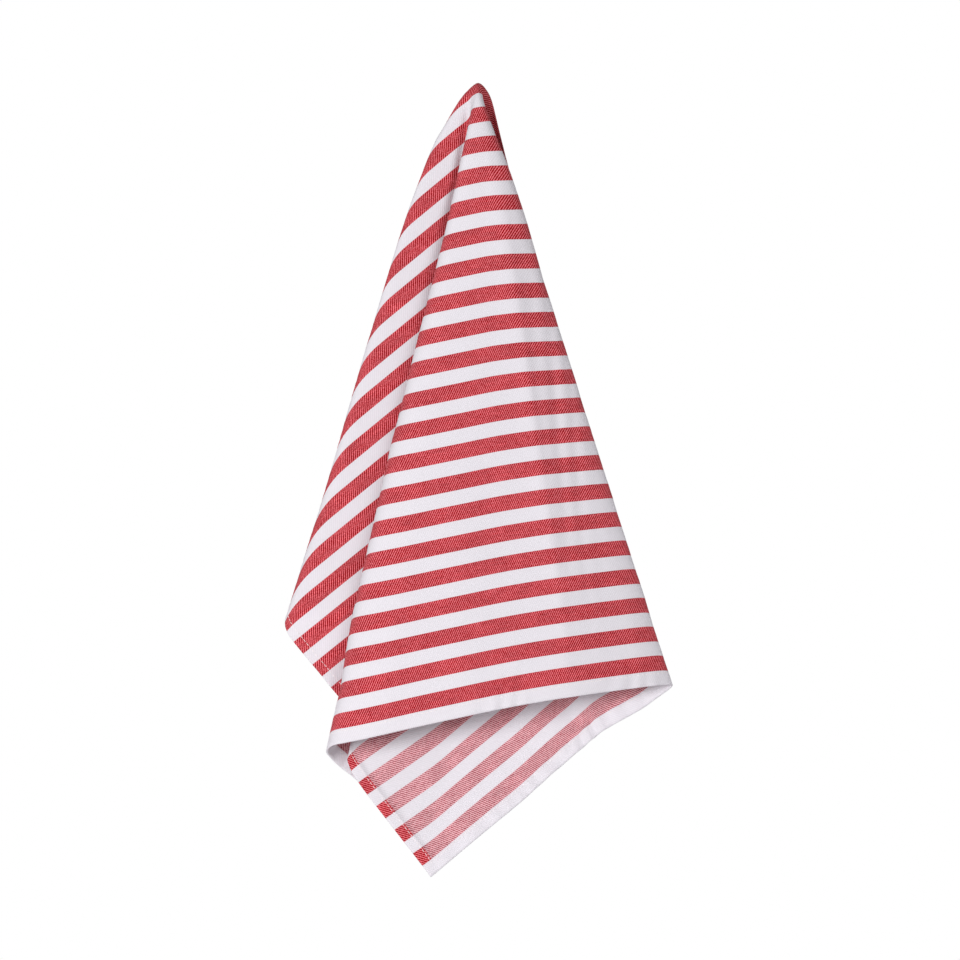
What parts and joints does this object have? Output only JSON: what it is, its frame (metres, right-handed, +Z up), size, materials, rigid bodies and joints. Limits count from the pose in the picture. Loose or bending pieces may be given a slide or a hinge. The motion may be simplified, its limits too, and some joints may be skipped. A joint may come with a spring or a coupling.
{
  "type": "tea towel",
  "caption": "Striped cotton tea towel held up near its middle, hanging in draped folds with a wide front panel, a side wing and pointed lower corners.",
  "frame": {"origin": "underside of the peak, where a hook or a peg would carry the cloth", "axes": "+Z up, front of the drape towards -Y, +X to the right as seen from the front"},
  "size_m": [0.268, 0.0973, 0.5444],
  "materials": {
    "striped_cotton": "matt cotton twill, white with even red stripes, paler on the reverse"
  },
  "bodies": {
    "root": {"tea_towel": "striped_cotton"}
  },
  "joints": []
}
